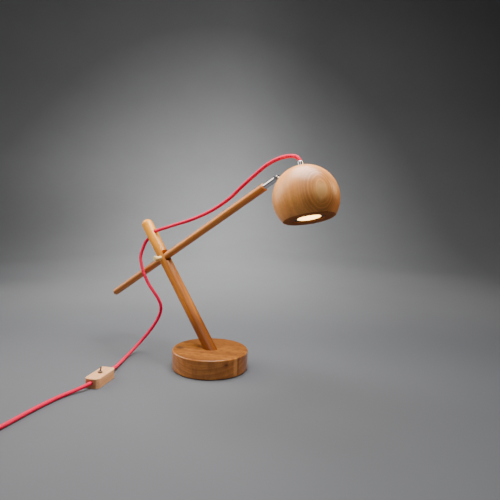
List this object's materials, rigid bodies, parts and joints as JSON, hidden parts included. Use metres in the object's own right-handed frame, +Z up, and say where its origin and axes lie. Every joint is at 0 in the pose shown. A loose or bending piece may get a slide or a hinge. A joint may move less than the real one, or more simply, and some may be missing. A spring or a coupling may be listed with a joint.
{
  "type": "adjustable desk lamp",
  "caption": "Wooden desk lamp: round weighted base, leaning post, swing arm clamped through the post, tilting ball shade with recessed spot lamp, red textile cord with in-line toggle switch",
  "frame": {"origin": "centre of the base's felt, on the table top", "axes": "+Z up, +X from the base towards the shade in the plane of the post and arm, -Y the side of the thumb nut, the switch and the cord"},
  "size_m": [0.5711, 0.616, 0.4188],
  "materials": {
    "oak": "oiled honey-brown oak, satin",
    "oak_ball": "oiled honey-brown oak, polished",
    "beech": "pale beech, waxed",
    "felt": "black felt",
    "steel": "plain zinc-plated steel",
    "brass": "turned brass, lightly polished",
    "chrome": "bright chrome plate",
    "lamp_shell": "dark brown moulded lamp body",
    "lamp_lens": "frosted, lit warm white",
    "porcelain": "unglazed lamp-holder ceramic",
    "red_textile": "braided crimson textile over the wires",
    "strap": "black hook-and-loop strap",
    "plug_rubber": "soft black rubber",
    "plug_plastic": "moulded black plastic"
  },
  "bodies": {
    "stand": {"base": "oak", "felt_pad": "felt", "ballast_disc": "steel", "ballast_screws": "steel", "post": "oak", "post_screw": "steel", "pivot_bolt": "brass", "pivot_washers": "brass", "switch_block": "beech", "switch_cover": "beech", "cover_screws": "steel", "toggle_case": "steel", "toggle_nut": "steel", "cord_drop": "red_textile", "cord_lead": "red_textile", "cord_coil": "red_textile", "coil_tie": "strap", "cord_end": "red_textile", "plug_relief": "plug_rubber", "plug_body": "plug_plastic", "plug_pins": "steel"},
    "thumb_nut": {"clamp_nut": "brass"},
    "swing_arm": {"arm": "oak", "arm_tube": "chrome", "cord_span": "red_textile"},
    "head": {"head_link": "chrome", "knuckle_screw": "chrome", "stem_insert": "brass", "shade": "oak_ball", "spot_lamp": "lamp_shell", "lamp_lens": "lamp_lens", "lamp_pins": "steel", "lamp_holder": "porcelain", "holder_screws": "steel", "cord_gland": "chrome", "gland_nut": "steel", "cord_head": "red_textile"},
    "toggle": {"toggle_lever": "steel"}
  },
  "joints": [
    {"name": "arm_swing", "type": "hinge", "parent": "stand", "child": "swing_arm", "pos_m": [-0.13625, 0, 0.20625], "axis": [0, -1, 0], "range_deg": [-12, 28], "deforming": ["cord_span"]},
    {"name": "head_tilt", "type": "hinge", "parent": "swing_arm", "child": "head", "pos_m": [0.14919, 0, 0.37776], "axis": [0, -1, 0], "range_deg": [-30, 60], "deforming": ["cord_head"]},
    {"name": "clamp_turn", "type": "hinge", "parent": "stand", "child": "thumb_nut", "pos_m": [-0.13625, 0, 0.20625], "axis": [0, -1, 0], "range_deg": [-90, 90]},
    {"name": "toggle_throw", "type": "hinge", "parent": "stand", "child": "toggle", "pos_m": [-0.0905, -0.1955, 0.0195], "axis": [0.4226, -0.9063, 0], "range_deg": [0, 24]}
  ]
}
